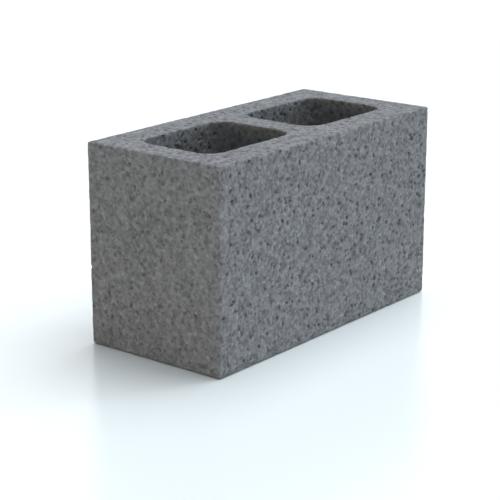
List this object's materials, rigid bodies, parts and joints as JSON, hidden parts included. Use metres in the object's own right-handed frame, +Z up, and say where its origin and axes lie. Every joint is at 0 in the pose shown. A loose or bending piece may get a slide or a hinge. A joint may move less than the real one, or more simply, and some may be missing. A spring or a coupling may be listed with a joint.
{
  "type": "hollow concrete block",
  "caption": "Rectangular hollow concrete block with upright through cores, rounded core corners and flat bed, end and side faces.",
  "frame": {"origin": "middle of the lower bed face, which the block stands on", "axes": "+X along the length, +Y across the width, +Z up, out of the upper bed face"},
  "size_m": [0.22, 0.105, 0.13],
  "materials": {
    "concrete": "matte"
  },
  "bodies": {
    "root": {"block": "concrete"}
  },
  "joints": []
}
